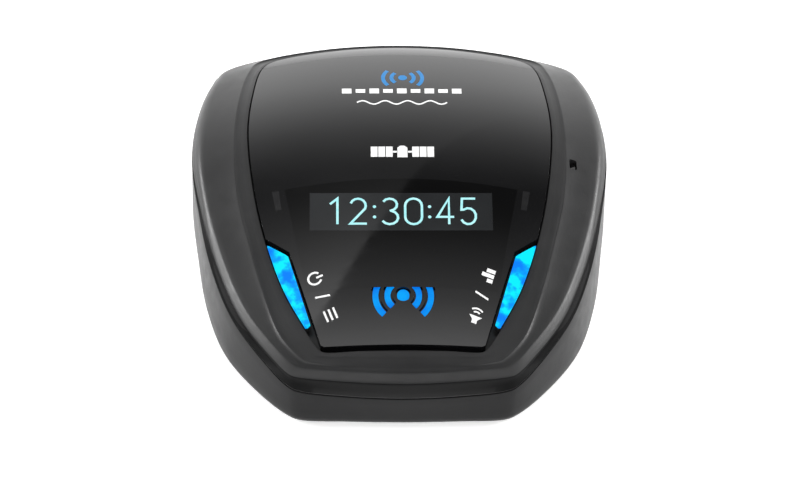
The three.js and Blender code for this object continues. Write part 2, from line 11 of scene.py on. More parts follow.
import bmesh
import bpy
from mathutils import Matrix, Quaternion, Vector


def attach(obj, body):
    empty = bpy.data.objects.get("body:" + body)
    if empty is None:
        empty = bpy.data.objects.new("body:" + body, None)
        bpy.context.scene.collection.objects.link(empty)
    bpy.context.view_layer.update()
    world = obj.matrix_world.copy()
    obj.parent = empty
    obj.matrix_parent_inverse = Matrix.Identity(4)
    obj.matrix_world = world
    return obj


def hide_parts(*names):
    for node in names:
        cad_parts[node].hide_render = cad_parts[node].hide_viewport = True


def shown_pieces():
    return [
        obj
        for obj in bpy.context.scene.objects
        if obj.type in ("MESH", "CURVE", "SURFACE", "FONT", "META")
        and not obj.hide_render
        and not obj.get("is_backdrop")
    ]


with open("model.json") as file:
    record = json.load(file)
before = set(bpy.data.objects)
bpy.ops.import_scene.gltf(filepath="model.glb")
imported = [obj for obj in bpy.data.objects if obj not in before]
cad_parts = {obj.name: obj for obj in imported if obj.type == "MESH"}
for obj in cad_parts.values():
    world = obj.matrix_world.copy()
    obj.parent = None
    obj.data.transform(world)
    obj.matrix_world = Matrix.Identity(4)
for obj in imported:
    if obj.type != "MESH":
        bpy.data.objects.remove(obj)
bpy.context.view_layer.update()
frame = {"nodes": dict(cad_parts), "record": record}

MM = 0.001
HOUSING = "housing"
CAMERA_ELEVATION = math.radians(46)

# ---- the body's own shape
# Stations along the right half of each outline, driver end first. The same index is the
# same place on every outline.

CROWN_RADIUS = 100
BELLY = [
    (0, -41), (9.8, -40.8), (17.8, -40.4), (19.9, -39.3), (24.4, -34.8), (30.5, -26), (33.9, -15.5),
    (35.8, -3), (37.1, 10), (36.5, 22), (35, 31.8), (33.2, 36.6), (18, 40.1), (0, 41),
]
EDGE = [
    (0, -40.6), (9.3, -40), (18.3, -38.35), (19.6, -37.6), (22.4, -34.4), (27.8, -26.5), (32, -15.7),
    (35, -3), (36.8, 10), (35.9, 22), (33.5, 30.7), (31.4, 34.3), (18, 36.5), (0, 37.1),
]
RIDGE = [
    (0, -38.4), (8.7, -37.9), (16.3, -36.4), (17.4, -35.7), (20.9, -31.3), (24.1, -22.2), (26.3, -13.5),
    (28.5, -3), (29.3, 11), (28.4, 21.8), (26.9, 29.3), (25.3, 33.1), (14, 35.2), (0, 35.7),
]
OPENING = [
    (0, -35.45), (7.2, -35.35), (13.5, -35.1), (14.5, -34.3), (17.2, -29.8), (20.4, -23.3), (23.3, -14.4),
    (25.7, -3), (27.05, 11), (26.35, 21.3), (24.7, 30.2), (22.9, 32.4), (13.5, 34.1), (0, 34.7),
]
CENTRE_SLOPES = [
    (-41, 0.49), (-36, 0.34), (-28, 0.285), (-10, 0.2), (4, 0.12), (14, 0),
    (22, -0.16), (28, -0.32), (33, -0.52), (38, -0.8), (41, -1),
]
DRIVER_END_HEIGHT = 11.2
SEAM_HEIGHTS = [
    (-41, 6.8), (-35, 8.8), (-30, 10.2), (-24, 11.4), (-14, 12.5), (0, 13.1), (15, 13.1),
    (22, 12.2), (28, 11.2), (33, 10.2), (36, 10), (41, 10.8),
]
# The cover's edge: a rounding, with its radius along the body and its profile as distance
# inwards and depth in shares of the radius, from the wall upwards. At the driver's end it
# becomes a slim chamfer, in millimetres.
EDGE_SIZES = [(-41, 0.6), (-34, 0.7), (-24, 0.9), (-8, 1.4), (5, 2), (28, 2), (34, 1.4), (41, 1.4)]
ROUNDING = [(1 - math.cos(k * math.pi / 16), 1 - math.sin(k * math.pi / 16)) for k in range(9)]
CHAMFER = [
    (0, 1.15), (0.02, 0.98), (0.07, 0.85), (0.15, 0.73), (0.27, 0.62), (0.55, 0.46), (0.95, 0.24),
    (1.25, 0.08), (1.5, 0),
]
CHAMFER_SHARES = [(-41, 1), (-16, 1), (0, 0), (41, 0)]
WALL = 2.2
RECESS_DEPTH = 1.7  # the panel's seat under the top surface
SEAT_WIDTH = 9
COVER_THICKNESS = 1.6
PANEL_LIFT = 0.1
PANEL_THICKNESS = 1.4
KEY_LIFT = 0.3
KEY_THICKNESS = 0.35
KEY_BLOCK_THICKNESS = 0.95
PANEL_GAP = 0.3
KEY_GAP = 0.16
DECAL_THICKNESS = 0.03
OUTLINE_STEPS = 12  # points along each stretch between two stations
FINE_STEPS = 8


def hermite(a, b, slope_a, slope_b, t):
    """A cubic from a to b with a slope at each end, at a share t of the way."""
    cubic = (2 * a - 2 * b + slope_a + slope_b) * t**3 + (3 * b - 3 * a - 2 * slope_a - slope_b) * t**2
    return cubic + slope_a * t + a


def smooth_table(table, at):
    """A table's value at a position, on a cubic curve through its points."""
    if at <= table[0][0]:
        return table[0][1]
    if at >= table[-1][0]:
        return table[-1][1]
    k = next(i for i in range(1, len(table)) if table[i][0] >= at)
    points = [table[max(k - 2, 0)], table[k - 1], table[k], table[min(k + 1, len(table) - 1)]]
    (p0, v0), (p1, v1), (p2, v2), (p3, v3) = points
    span = p2 - p1
    m1 = (v2 - v0) / (p2 - p0) * span
    m2 = (v3 - v1) / (p3 - p1) * span
    return hermite(v1, v2, m1, m2, (at - p1) / span)


HEIGHT_STEP = 0.1
BODY_START, BODY_LENGTH = -41, 82
HEIGHTS = [DRIVER_END_HEIGHT]
for _step in range(round(BODY_LENGTH / HEIGHT_STEP)):
    _middle = BODY_START + (_step + 0.5) * HEIGHT_STEP
    HEIGHTS.append(HEIGHTS[-1] + smooth_table(CENTRE_SLOPES, _middle) * HEIGHT_STEP)


def crown_drop(x):
    """How far the crowned top surface has fallen at a distance from the middle."""
    return CROWN_RADIUS - math.sqrt(CROWN_RADIUS**2 - x**2)


def top_height(x, y):
    """Height of the crowned top surface."""
    at = min(max((y - BODY_START) / HEIGHT_STEP, 0), len(HEIGHTS) - 1.001)
    k = int(at)
    return HEIGHTS[k] + (HEIGHTS[k + 1] - HEIGHTS[k]) * (at - k) - crown_drop(x)


def inset(stations, distance):
    """The stations drawn in towards the middle. The distance may depend on y."""
    half_width = max(x for x, y in stations)
    half_length = max(abs(y) for x, y in stations)
    out = []
    for x, y in stations:
        d = distance(y) if callable(distance) else distance
        out.append((x * (1 - d / half_width), y * (1 - d / half_length)))
    return out


def between(first, second, share):
    return [(a + (c - a) * share, b + (d - b) * share) for (a, b), (c, d) in zip(first, second)]


def flip(points):
    """The mirror image on the other side of the body, running the same way round."""
    return [(-x, y) for x, y in reversed(points)]


def loop(stations, steps=OUTLINE_STEPS):
    """The whole outline as a closed list of (x, y), on a centripetal curve through the stations."""
    points = flip(stations[1:2]) + stations + flip(stations[-2:-1])
    half = []
    for k in range(1, len(points) - 2):
        p0, p1, p2, p3 = (Vector(p) for p in points[k - 1 : k + 3])
        d0, d1, d2 = ((b - a).length ** 0.5 for a, b in ((p0, p1), (p1, p2), (p2, p3)))
        m1 = ((p1 - p0) / d0 - (p2 - p0) / (d0 + d1) + (p2 - p1) / d1) * d1
        m2 = ((p2 - p1) / d1 - (p3 - p1) / (d1 + d2) + (p3 - p2) / d2) * d1
        half += [tuple(hermite(p1, p2, m1, m2, step / steps)) for step in range(steps)]
    half.append(stations[-1])
    return half + flip(half[1:-1])


def ring(stations, height):
    return [(x, y, height(x, y) if callable(height) else height) for x, y in loop(stations)]


def below_top(depth):
    return lambda x, y: top_height(x, y) - (depth(y) if callable(depth) else depth)


def at_seam(offset):
    return lambda x, y: smooth_table(SEAM_HEIGHTS, y) + offset


def edge_profile(y, k):
    """Distance inwards and depth of one point of the cover's edge."""
    size = smooth_table(EDGE_SIZES, y)
    chamfered = smooth_table(CHAMFER_SHARES, y)
    return [size * r + (c - size * r) * chamfered for r, c in zip(ROUNDING[k], CHAMFER[k])]


# ---- mesh helpers

SHARP_ANGLE = math.radians(40)
CORNER_STEPS = 6


def shade_smooth(bm):
    """Smooth shading except across open edges and edges over the sharp angle."""
    for face in bm.faces:
        face.smooth = True
    for edge in bm.edges:
        edge.smooth = len(edge.link_faces) == 2 and edge.calc_face_angle(0) < SHARP_ANGLE


def new_object(name, bm):
    """An object from a bmesh in millimetres, with no material yet."""
    bmesh.ops.scale(bm, vec=(MM, MM, MM), verts=bm.verts)
    mesh = bpy.data.meshes.new(name)
    bm.to_mesh(mesh)
    bm.free()
    made = bpy.data.objects.new(name, mesh)
    bpy.context.scene.collection.objects.link(made)
    return made


def make_object(name, bm, material):
    """A smooth-shaded mesh object of one material."""
    bmesh.ops.recalc_face_normals(bm, faces=bm.faces)
    shade_smooth(bm)
    made = new_object(name, bm)
    made.data.materials.append(material)
    return made


def place(piece, body, slot, *nodes):
    """The piece rides on a body and stands for CAD nodes, which it hides; the slot is not used."""
    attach(piece, body)
    if nodes:
        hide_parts(*nodes)


def skin(bm, rings, cyclic=False, caps=False):
    """Quads between successive rings of points."""
    layers = [[bm.verts.new(p) for p in points] for points in rings]
    pairs = list(zip(layers, layers[1:]))
    if cyclic:
        pairs.append((layers[-1], layers[0]))
    for low, high in pairs:
        for i in range(len(low)):
            j = (i + 1) % len(low)
            bm.faces.new((low[i], low[j], high[j], high[i]))
    if caps:
        bm.faces.new(list(reversed(layers[0])))
        bm.faces.new(layers[-1])


def cut_to_grid(bm, step):
    """Cuts flat faces along a square grid, so that they can follow a curved surface."""
    for axis in (0, 1):
        places = [v.co[axis] for v in bm.verts]
        at = math.floor(min(places) / step) * step + step
        while at < max(places):
            point = Vector((0, 0, 0))
            point[axis] = at
            normal = Vector((0, 0, 0))
            normal[axis] = 1
            geometry = bm.verts[:] + bm.edges[:] + bm.faces[:]
            bmesh.ops.bisect_plane(bm, geom=geometry, plane_co=point, plane_no=normal, dist=1e-5)
            at += step


def drape(bm, polygons, lift, thickness, step):
    """Flat polygons laid on the top surface at a lift above it, as one slab of a thickness."""
    flat = bmesh.new()
    for points in polygons:
        flat.faces.new([flat.verts.new((x, y, 0)) for x, y in points])
    bmesh.ops.remove_doubles(flat, verts=flat.verts, dist=1e-4)
    cut_to_grid(flat, step)
    bmesh.ops.recalc_face_normals(flat, faces=flat.faces)
    if sum(f.normal.z for f in flat.faces) < 0:
        bmesh.ops.reverse_faces(flat, faces=flat.faces)
    top = {v: bm.verts.new((v.co.x, v.co.y, top_height(v.co.x, v.co.y) + lift)) for v in flat.verts}
    low = {v: bm.verts.new(top[v].co - Vector((0, 0, thickness))) for v in flat.verts}
    for face in flat.faces:
        bm.faces.new([top[v] for v in face.verts])
        bm.faces.new([low[v] for v in reversed(face.verts)])
        for a, b in zip(face.verts, [*face.verts[1:], face.verts[0]]):
            if len(flat.edges.get((a, b)).link_faces) == 1:
                bm.faces.new((top[b], top[a], low[a], low[b]))
    flat.free()


def level(points, slope):
    """Points moved along the body so that straight lines across the crown look straight from
    the driver's seat. The slope is the surface's own at that place."""
    down, forward = math.sin(CAMERA_ELEVATION), math.cos(CAMERA_ELEVATION)
    shift = forward / (down + forward * slope)
    return [(x, y + shift * crown_drop(x)) for x, y in points]


def decal(name, polygons, lift, material, slot, step=1.5):
    """A thin printed or lit shape on the face panel."""
    bm = bmesh.new()
    drape(bm, polygons, PANEL_LIFT + lift, DECAL_THICKNESS, step)
    place(make_object(name, bm, material), HOUSING, slot)


def box_into(bm, x0, x1, y0, y1, z0, z1):
    size = Vector((x1 - x0, y1 - y0, z1 - z0))
    centre = Vector(((x0 + x1) / 2, (y0 + y1) / 2, (z0 + z1) / 2))
    bmesh.ops.create_cube(bm, size=1, matrix=Matrix.LocRotScale(centre, None, size))


def prism_into(bm, outline, z0, z1):
    skin(bm, [[(x, y, z) for x, y in outline] for z in (z0, z1)], caps=True)


def disc_outline(x, y, r, steps=48):
    turns = [2 * math.pi * k / steps for k in range(steps)]
    return [(x + r * math.cos(a), y + r * math.sin(a)) for a in turns]


def arc(cx, cy, r, start, end, steps, squash=1.0):
    """Points from one angle to another, in degrees."""
    turns = [math.radians(start + (end - start) * k / steps) for k in range(steps + 1)]
    return [(cx + r * math.cos(a), cy + r * squash * math.sin(a)) for a in turns]


def box_outline(x0, x1, y0, y1):
    return [(x0, y0), (x1, y0), (x1, y1), (x0, y1)]


def shrunk(box, by):
    x0, x1, y0, y1 = box
    return x0 + by, x1 - by, y0 + by, y1 - by


def rounded_outline(x0, x1, y0, y1, r):
    """A box's outline with rounded corners."""
    points = []
    for turn, (x, y) in zip((180, 270, 0, 90), box_outline(x0 + r, x1 - r, y0 + r, y1 - r)):
        points += arc(x, y, r, turn, turn + 90, CORNER_STEPS)
    return points


def cut(made, cutter_bm):
    """Cuts the solids in a bmesh (in millimetres) out of an object, for good."""
    bmesh.ops.recalc_face_normals(cutter_bm, faces=cutter_bm.faces)
    cutter = new_object("cutter", cutter_bm)
    modifier = made.modifiers.new("cut", "BOOLEAN")
    modifier.operation = "DIFFERENCE"
    modifier.solver = "EXACT"
    modifier.object = cutter
    graph = bpy.context.evaluated_depsgraph_get()
    result = bpy.data.meshes.new_from_object(made.evaluated_get(graph))
    made.modifiers.clear()
    materials = list(made.data.materials)
    made.data = result
    kept = [min(face.material_index, len(materials) - 1) for face in result.polygons]
    made.data.materials.clear()
    for material in materials:
        made.data.materials.append(material)
    made.data.polygons.foreach_set("material_index", kept)
    bpy.data.objects.remove(cutter)
    bm = bmesh.new()
    bm.from_mesh(made.data)
    shade_smooth(bm)
    bm.to_mesh(made.data)
    bm.free()


def bevel(made, width, segments, angle=50):
    modifier = made.modifiers.new("bevel", "BEVEL")
    modifier.width = width * MM
    modifier.segments = segments
    modifier.limit_method = "ANGLE"
    modifier.angle_limit = math.radians(angle)


# ---- materials

GLOSS_BLACK = (0.0032, 0.0032, 0.0035)
SMUDGE = (0.03, 0.09)  # roughness of a clean and a smudged polished surface


def fill_ramp(ramp, stops):
    """Gives a ramp its stops: places from 0 to 1 with colours or greys."""
    while len(ramp.elements) < len(stops):
        ramp.elements.new(0.5)
    for element, (at, colour) in zip(ramp.elements, stops):
        element.position = at
        shade = (colour,) * 3 if isinstance(colour, (int, float)) else colour
        element.color = (*shade, 1)


class Nodes:
    """Short names for building one material's node tree."""

    def __init__(self, name, **constants):
        self.material = bpy.data.materials.new(name)
        self.material.use_nodes = True
        self.tree = self.material.node_tree
        self.shader = self.tree.nodes["Principled BSDF"]
        for socket, value in constants.items():
            self.shader.inputs[socket.replace("_", " ")].default_value = value
        self.place = self.add("ShaderNodeTexCoord").outputs["Object"]

    def add(self, kind, **values):
        node = self.tree.nodes.new(kind)
        for key, value in values.items():
            setattr(node, key, value)
        return node

    def link(self, output, target):
        self.tree.links.new(output, target)

    def noise(self, size_mm, detail=2, roughness=0.5, stretch=(1, 1, 1)):
        """Noise whose features are about size_mm across."""
        mapping = self.add("ShaderNodeMapping")
        mapping.inputs["Scale"].default_value = [s / (size_mm * MM) for s in stretch]
        self.link(self.place, mapping.inputs["Vector"])
        node = self.add("ShaderNodeTexNoise")
        node.inputs["Scale"].default_value = 1
        node.inputs["Detail"].default_value = detail
        node.inputs["Roughness"].default_value = roughness
        self.link(mapping.outputs["Vector"], node.inputs["Vector"])
        return node.outputs["Fac"]

    def ramp(self, value, stops):
        node = self.add("ShaderNodeValToRGB")
        fill_ramp(node.color_ramp, stops)
        self.link(value, node.inputs["Fac"])
        return node.outputs["Color"]

    def colour(self, value):
        self.link(value, self.shader.inputs["Base Color"])

    def rough(self, value, low, high):
        self.link(self.ramp(value, [(0.3, low), (0.7, high)]), self.shader.inputs["Roughness"])

    def along_body(self, near, far, cloud):
        """Rises from 0 to 0.8 between two places along the body, with 0.2 of a cloud on it."""
        split = self.add("ShaderNodeSeparateXYZ")
        self.link(self.place, split.inputs[0])
        rise = self.add("ShaderNodeMapRange")
        limits = {"From Min": near * MM, "From Max": far * MM, "To Min": 0.0, "To Max": 0.8}
        for socket, value in limits.items():
            rise.inputs[socket].default_value = value
        self.link(split.outputs["Y"], rise.inputs["Value"])
        clouded = self.add("ShaderNodeMath", operation="MULTIPLY_ADD")
        self.link(cloud, clouded.inputs[0])
        clouded.inputs[1].default_value = 0.2
        self.link(rise.outputs["Result"], clouded.inputs[2])
        return clouded.outputs[0]

    def bump(self, layers, strength=1.0):
        """Bump from (value, height in mm) layers, one on another."""
        previous = None
        for value, height in layers:
            node = self.add("ShaderNodeBump")
            node.inputs["Strength"].default_value = strength
            node.inputs["Distance"].default_value = height * MM
            self.link(value, node.inputs["Height"])
            if previous is not None:
                self.link(previous, node.inputs["Normal"])
            previous = node.outputs["Normal"]
        self.link(previous, self.shader.inputs["Normal"])


def grain(n, rough, grain_mm=0.22, height=0.012):
    """Spark-eroded grain over a slight waviness, and gloss worn in patches."""
    n.rough(n.noise(2.5, detail=4), *rough)
    n.bump([(n.noise(grain_mm), height), (n.noise(1.4), height)])
    return n.material


def moulded(name, dark, light, specular=0.5, **grain_values):
    """Moulded plastic, slightly cloudy."""
    n = Nodes(name, Specular_IOR_Level=specular)
    n.colour(n.ramp(n.noise(9, detail=3), [(0.3, dark), (0.7, light)]))
    return grain(n, **grain_values)


def painted_shade_wall():
    """The cover's upright wall: moulded like the rest and flatter, with painted shade: darker at the
    driver's end, lighter further back.
    """
    n = Nodes("cover_wall_painted_shade", Specular_IOR_Level=0.12)
    along = n.along_body(-38, -8, n.noise(9, detail=3))
    # painted shade: the wall's colour darkens towards the driver's end and lightens further back
    n.colour(n.ramp(along, [(0.1, (0.005, 0.005, 0.0052)), (0.9, (0.03, 0.03, 0.0305))]))
    return grain(n, (0.34, 0.42))


def polish(n, smudge):
    """Faint smudges, hairline wipe marks and the slightest waviness."""
    n.rough(n.noise(6, detail=5, roughness=0.6, stretch=(1, 3, 1)), *smudge)
    n.bump([(n.noise(16, detail=1), 0.01)], strength=0.3)
    return n.material


def gloss(name, colour, smudge=SMUDGE):
    """Polished plastic."""
    n = Nodes(name)
    tint = tuple(c * 1.5 for c in colour)
    n.colour(n.ramp(n.noise(14), [(0.35, colour), (0.65, tint)]))
    return polish(n, smudge)


def shade_gloss():
    """The shade over the display, which fades into the panel's own black towards the driver."""
    n = Nodes("display_bezel_shade")
    fade = n.along_body(-24, -11, n.noise(14))
    n.colour(n.ramp(fade, [(0.1, GLOSS_BLACK), (0.9, (0.0004, 0.0004, 0.0005))]))
    return polish(n, SMUDGE)


def lit(name, stops, size_mm, strength, body):
    """Back-lit translucent plastic whose light is mottled by what is behind it."""
    base = (*body, 1)
    n = Nodes(name, Emission_Strength=strength, Roughness=0.3, Base_Color=base, Specular_IOR_Level=0.1)
    glow = n.ramp(n.noise(size_mm, detail=3, roughness=0.55), stops)
    n.link(glow, n.shader.inputs["Emission Color"])
    n.bump([(n.noise(0.5), 0.004)])
    return n.material


def metal(name, dark, light, rough):
    """Plated or cast metal, a little uneven in colour and gloss."""
    n = Nodes(name, Metallic=1.0)
    n.colour(n.ramp(n.noise(3, detail=3), [(0.3, dark), (0.7, light)]))
    n.rough(n.noise(0.6, detail=4), *rough)
    n.bump([(n.noise(0.25, detail=3), 0.004)])
    return n.material


def ink(name, colour):
    """Screen-printed ink: slightly uneven, with a fine mesh texture."""
    n = Nodes(name, Specular_IOR_Level=0.35)
    shade = tuple(c * 0.88 for c in colour)
    n.colour(n.ramp(n.noise(0.6, detail=3), [(0.25, shade), (0.6, colour)]))
    n.rough(n.noise(0.4), 0.35, 0.5)
    n.bump([(n.noise(0.12), 0.003)])
    return n.material


def board_mask():
    """Solder mask with copper areas showing through as a lighter green, and vias."""
    n = Nodes("board_green", Coat_Weight=0.4, Coat_Roughness=0.2)
    copper = n.add("ShaderNodeTexVoronoi")
    mapping = n.add("ShaderNodeMapping")
    mapping.inputs["Scale"].default_value = (450, 450, 0)
    n.link(n.place, mapping.inputs["Vector"])
    n.link(mapping.outputs["Vector"], copper.inputs["Vector"])
    copper.inputs["Scale"].default_value = 1
    copper.distance = "CHEBYCHEV"
    n.colour(n.ramp(copper.outputs["Distance"], [(0.3, (0.015, 0.11, 0.04)), (0.34, (0.03, 0.2, 0.08))]))
    n.rough(n.noise(1.5), 0.35, 0.5)
    n.bump([(copper.outputs["Distance"], 0.03)])
    return n.material


def grey(shade, blue=0.0):
    return (shade, shade, shade + blue)


MATTE = moulded("matte_black", grey(0.017, 0.0005), grey(0.022, 0.0005), rough=(0.3, 0.38), specular=0.3)
# The cover's wall material, with painted shade along the body.
PAINTED_SHADE_WALL = painted_shade_wall()
# The lower shell's plastic: a darker, duller copy of the matte housing plastic, as painted shade on its
# walls.
LOWER_MATTE_PAINTED_SHADE = moulded(
    "matte_black_lower_painted_shade", grey(0.009, 0.0005), grey(0.012, 0.0005), rough=(0.3, 0.38), specular=0.2,
)
GLOSS = gloss("gloss_black", GLOSS_BLACK)
BEZEL_SHADE = shade_gloss()
DISPLAY_GLASS = gloss("display_glass", (0.014, 0.015, 0.016))
STRIP_SHADE = gloss("light_strip_shade", grey(0.009, 0.0005), smudge=(0.1, 0.2))
DIGITS = lit(
    "display_digits",
    [(0.35, (0.35, 0.86, 0.9)), (0.65, (0.55, 0.97, 1.0))],
    0.8, 0.95, (0.05, 0.08, 0.08),
)
KEY_GLOW = lit(
    "key_glow",
    [(0.4, (0.0, 0.17, 1.0)), (0.5, (0.0, 0.34, 1.0)), (0.6, (0.0, 0.85, 1.0))],
    3.0, 0.97, (0.0, 0.05, 0.1),
)
EMBLEM_GLOW = lit(
    "emblem_glow",
    [(0.36, (0.0, 0.15, 0.8)), (0.64, (0.0, 0.36, 0.95))],
    4.0, 0.97, (0.0, 0.03, 0.07),
)
WHITE_INK = ink("white_ink", grey(0.86))
BLUE_INK = ink("blue_ink", (0.0, 0.17, 0.45))
SMOKED_RED = gloss("smoked_red", (0.03, 0.003, 0.004))
CHIP = moulded("chip_black", grey(0.012, 0.001), grey(0.02), rough=(0.5, 0.65), grain_mm=0.12)
JACK = moulded("jack_black", grey(0.015, 0.001), grey(0.022), rough=(0.3, 0.45), grain_mm=0.2)
STEEL = metal("plated_steel", (0.52, 0.53, 0.55), (0.68, 0.69, 0.7), rough=(0.25, 0.4))
ZINC = metal("cast_zinc", (0.4, 0.41, 0.42), (0.52, 0.53, 0.54), rough=(0.4, 0.6))
CERAMIC = moulded("ceramic", (0.62, 0.56, 0.43), (0.72, 0.67, 0.54), rough=(0.45, 0.6), grain_mm=0.3)
FOAM = moulded("foam", grey(0.01), grey(0.022), rough=(0.8, 0.95), grain_mm=0.4, height=0.1)
FLEX = moulded("flex_amber", (0.4, 0.17, 0.03), (0.52, 0.24, 0.05), rough=(0.25, 0.4), grain_mm=0.5)
LABEL = moulded(
    "label_silver", (0.5, 0.51, 0.52), (0.6, 0.61, 0.62), rough=(0.3, 0.42), grain_mm=0.15, height=0.004,
)
BOARD = board_mask()

# ---- the housing shells

RIDGE_RISE, BAND_END = 0.3, 0.1
RIDGE_RISES = [(-38, 0), (-35, RIDGE_RISE), (41, RIDGE_RISE)]
FRONT_TILTS = [(-37, 0.3), (-33, 0.2), (-24, 0)]  # how far the band falls away at the driver's end
# Depth below the top surface at shares of the way from the ridge to the opening.
BAND_PROFILE = [
    (0.04, -0.24), (0.1, -0.12), (0.2, -0.01), (0.35, 0.05), (0.5, 0.11), (0.57, 0.12), (0.95, 0.1),
]


def ridge_depth(share):
    """Depth of the flank on its way up to the ridge."""
    return lambda y: smooth_table(FRONT_TILTS, y) - smooth_table(RIDGE_RISES, y) * share**3


def band_depth(share, depth):
    """Depth of the band inside the ridge, which loses its profile where the ridge ends."""
    plain = BAND_END * share

    def at(y):
        lower = smooth_table(FRONT_TILTS, y) * (1 - share)
        return lower + plain + (depth - plain) * smooth_table(RIDGE_RISES, y) / RIDGE_RISE

    return at


PAINTED_SHADE_WALL_LAYERS = range(3, 8)  # the stretches between successive rings that make the upright wall, which takes the material with painted shade


def make_cover():
    """The top cover: seam lip, wall, rounded edge, ridge, band round the panel, panel seat."""
    seam_line = between(BELLY, EDGE, 0.5)
    rings = [
        ring(inset(seam_line, WALL), at_seam(0.15)),
        ring(inset(seam_line, 0.22), at_seam(0.15)),
        ring(inset(seam_line, 0.06), at_seam(0.2)),
        ring(seam_line, at_seam(0.38)),
        ring(
            between(BELLY, EDGE, 0.75),
            lambda x, y: (at_seam(0.4)(x, y) + top_height(x, y) - edge_profile(y, 0)[1]) / 2,
        ),
    ]
    for step in range(len(ROUNDING)):
        inward = lambda y, k=step: edge_profile(y, k)[0]
        depth = lambda y, k=step: edge_profile(y, k)[1]
        tilted = lambda y, d=depth: d(y) + smooth_table(FRONT_TILTS, y)
        rings.append(ring(inset(EDGE, inward), below_top(tilted)))
    shoulder = inset(EDGE, lambda y: edge_profile(y, -1)[0] + 0.2)
    for share in (0.15, 0.35, 0.55, 0.75, 0.86, 0.93, 0.97, 1):
        rings.append(ring(between(shoulder, RIDGE, share), below_top(ridge_depth(min(share, 0.985)))))
    for share, depth in BAND_PROFILE:
        rings.append(ring(between(RIDGE, OPENING, share), below_top(band_depth(share, depth))))
    seat, underside = below_top(RECESS_DEPTH), below_top(RECESS_DEPTH + COVER_THICKNESS)
    rings += [
        ring(OPENING, below_top(0.16)),
        ring(OPENING, seat),
        ring(inset(OPENING, SEAT_WIDTH), seat),
        ring(inset(OPENING, SEAT_WIDTH), underside),
        ring(RIDGE, underside),
        ring(inset(EDGE, WALL + 0.4), underside),
    ]
    bm = bmesh.new()
    skin(bm, rings, cyclic=True)
    # The wall's faces take the second material, which has painted shade.
    for k, face in enumerate(bm.faces):
        face.material_index = int(k // len(rings[0]) in PAINTED_SHADE_WALL_LAYERS)
    cover = make_object("top_cover_shell", bm, MATTE)
    cover.data.materials.append(PAINTED_SHADE_WALL)
    slit = bmesh.new()
    x, y = SENSOR_PLACE
    prism_into(slit, rounded_outline(x - 0.65, x + 0.65, y - 1.05, y + 1.05, 0.3), 12, 25)
    cut(cover, slit)
    place(cover, HOUSING, "housing", "top_cover")


SENSOR_PLACE = (30.5, 4.7)
SPEAKER_PLACE, SPEAKER_PATCH, SLOT_PITCH = (0, -16), 9, 2.4
SCREWS = [(15, -33), (-15, -33), (28, 28), (-28, 28)]
SCREW_WELL = 2.3
FOOT_RADIUS, FOOT_STEPS, FOOT_TOP = 1.8, 7, 2
LABEL_BOX = (-18, 18, 4, 21)
BRACKET_SLOT = (-9.2, 9.2, 29, 50, 1.5, 3.5)
WINDOW = (-20, 20, 5.1, 9.6)
WINDOW_MIDDLE, WALL_LEAN = 7.3, 0.2
PANE_GAP, PANE_THICKNESS = 0.2, 1.6
DC_JACK = (15, 10.1, 1.9)
USB_JACK = (15, 10.1, 7.7, 3.4)


def lower_rings():
    """The lower body's outer surface from its base to its seam."""
    rings = [ring(inset(BELLY, 9), 0)]
    for step in range(FOOT_STEPS + 1):
        angle = math.pi / 2 * step / FOOT_STEPS
        outline = inset(BELLY, FOOT_RADIUS * (1 - math.sin(angle)))
        rings.append(ring(outline, 1.1 * FOOT_RADIUS * (1 - math.cos(angle))))
    for share in (0.25, 0.5, 0.75, 1):
        height = lambda x, y, s=share: FOOT_TOP + s * (at_seam(-0.4)(x, y) - FOOT_TOP)
        rings.append(ring(between(BELLY, EDGE, 0.5 * share), height))
    return rings


def make_lower():
    """The lower housing: flat base with its cut-outs, rounded foot, wall and seam lip."""
    seam_line = between(BELLY, EDGE, 0.5)
    rings = lower_rings() + [
        ring(inset(seam_line, 0.06), at_seam(-0.2)),
        ring(inset(seam_line, 0.22), at_seam(-0.15)),
        ring(inset(seam_line, WALL), at_seam(-0.15)),
        ring(inset(BELLY, WALL), 4.5),
        ring(inset(BELLY, WALL + 1.2), 2),
    ]
    bm = bmesh.new()
    skin(bm, rings, caps=True)
    # painted shade: the lower shell takes the darker copy of the matte plastic
    lower = make_object("lower_housing_shell", bm, LOWER_MATTE_PAINTED_SHADE)
    cutter = bmesh.new()
    for x, y in SCREWS:
        prism_into(cutter, disc_outline(x, y, SCREW_WELL), -1, 1.7)
    for k in range(-3, 4):
        y = SPEAKER_PLACE[1] + k * SLOT_PITCH
        reach = math.sqrt(SPEAKER_PATCH**2 - (k * SLOT_PITCH) ** 2)
        prism_into(cutter, rounded_outline(-reach, reach, y - 0.6, y + 0.6, 0.55), -1, 5)
    prism_into(cutter, rounded_outline(*LABEL_BOX, 0.6), -1, 0.6)
    box_into(cutter, *BRACKET_SLOT)
    x0, x1, z0, z1 = WINDOW
    box_into(cutter, x0, x1, 30, 50, z0, z1)
    y, z, width, height = USB_JACK
    mouth = rounded_outline(y - width / 2, y + width / 2, z - height / 2, z + height / 2, 0.5)
    for outline, reach in ((disc_outline(*DC_JACK), (30, 45)), (mouth, (-45, -30))):
        skin(cutter, [[(x, a, b) for a, b in outline] for x in reach], caps=True)
    cut(lower, cutter)
    sleeve = bmesh.new()
    x0, x1, y0, _, z0, z1 = BRACKET_SLOT
    box_into(sleeve, x0 - 1.2, x1 + 1.2, y0 - 1.2, 39.3, z0 - 1, z1 + 1)
    # painted shade: the sleeve takes the darker copy of the matte plastic
    tube = make_object("bracket_sleeve", sleeve, LOWER_MATTE_PAINTED_SHADE)
    hollow = bmesh.new()
    box_into(hollow, x0, x1, y0, 45, z0, z1)
    cut(tube, hollow)
    place(tube, HOUSING, "housing")
    place(lower, HOUSING, "housing", "lower_housing")


